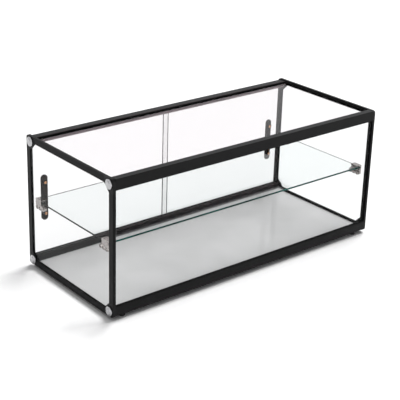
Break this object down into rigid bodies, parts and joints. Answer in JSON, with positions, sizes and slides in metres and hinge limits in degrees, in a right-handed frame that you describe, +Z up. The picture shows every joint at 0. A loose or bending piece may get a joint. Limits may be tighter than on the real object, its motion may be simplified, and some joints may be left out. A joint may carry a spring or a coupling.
{
  "type": "cake display case",
  "caption": "Low countertop display case with a black frame, clear glass walls, a glass middle shelf on chrome clamps and two sliding glass doors at the rear.",
  "frame": {"origin": "middle of the plan, at the underside of the feet", "axes": "+X along the width to the viewer's right from the front, front at -Y, +Z up"},
  "size_m": [0.9122, 0.39, 0.376],
  "materials": {
    "black_aluminium": "black anodised, satin",
    "connector_plastic": "moulded black, fine grain",
    "cap_chrome": "polished",
    "clamp_chrome": "polished, softly scuffed",
    "washer_black": "moulded black",
    "handle_screw_brass": "polished copper-brown",
    "screw_steel": "zinc plated",
    "handle_brown": "dark brown, smooth",
    "shoe_nylon": "black nylon",
    "case_glass": "clear, polished",
    "base_glass": "painted pale grey on its underside, polished",
    "shelf_glass": "clear with green edges",
    "door_glass": "clear, polished",
    "foot_rubber": "matt black",
    "gasket_rubber": "matt black",
    "clear_pad": "translucent soft pad",
    "bond_pad": "translucent bonding layer"
  },
  "bodies": {
    "case": {"base_glass": "base_glass", "foot_left_front": "foot_rubber", "foot_left_rear": "foot_rubber", "foot_right_front": "foot_rubber", "foot_right_rear": "foot_rubber", "foot_screws": "screw_steel", "front_bottom_rail": "black_aluminium", "front_glass": "case_glass", "front_glass_bottom_gasket": "gasket_rubber", "front_glass_end_strips": "gasket_rubber", "front_glass_packing_strips": "gasket_rubber", "front_glass_top_gasket": "gasket_rubber", "front_top_rail": "black_aluminium", "glass_shelf": "shelf_glass", "left_connector_front_bottom": "connector_plastic", "left_connector_front_top": "connector_plastic", "left_connector_rear_bottom": "connector_plastic", "left_connector_rear_top": "connector_plastic", "left_corner_caps": "cap_chrome", "left_corner_screws": "screw_steel", "left_end_bottom_channel": "black_aluminium", "left_end_front_post": "black_aluminium", "left_end_rear_post": "black_aluminium", "left_end_top_channel": "black_aluminium", "left_side_glass": "case_glass", "rear_bottom_track": "black_aluminium", "rear_top_track": "black_aluminium", "right_connector_front_bottom": "connector_plastic", "right_connector_front_top": "connector_plastic", "right_connector_rear_bottom": "connector_plastic", "right_connector_rear_top": "connector_plastic", "right_corner_caps": "cap_chrome", "right_corner_screws": "screw_steel", "right_end_bottom_channel": "black_aluminium", "right_end_front_post": "black_aluminium", "right_end_rear_post": "black_aluminium", "right_end_top_channel": "black_aluminium", "right_side_glass": "case_glass", "shelf_clamp_left_front": "clamp_chrome", "shelf_clamp_left_rear": "clamp_chrome", "shelf_clamp_right_front": "clamp_chrome", "shelf_clamp_right_rear": "clamp_chrome", "shelf_clamp_screws": "clamp_chrome", "shelf_clamp_wall_pads": "bond_pad", "shelf_pads": "clear_pad", "top_glass": "case_glass", "top_glass_gasket": "gasket_rubber"},
    "left_door": {"left_door_glass": "door_glass", "left_door_handle": "handle_brown", "left_door_handle_screws": "handle_screw_brass", "left_door_handle_washers": "washer_black", "left_door_left_shoe": "shoe_nylon", "left_door_right_shoe": "shoe_nylon"},
    "right_door": {"right_door_glass": "door_glass", "right_door_handle": "handle_brown", "right_door_handle_screws": "handle_screw_brass", "right_door_handle_washers": "washer_black", "right_door_left_shoe": "shoe_nylon", "right_door_right_shoe": "shoe_nylon"}
  },
  "joints": [
    {"name": "left_door_slide", "type": "slide", "parent": "case", "child": "left_door", "axis": [1, 0, 0], "range_m": [0, 0.435]},
    {"name": "right_door_slide", "type": "slide", "parent": "case", "child": "right_door", "axis": [-1, 0, 0], "range_m": [-0.016, 0.419]}
  ]
}
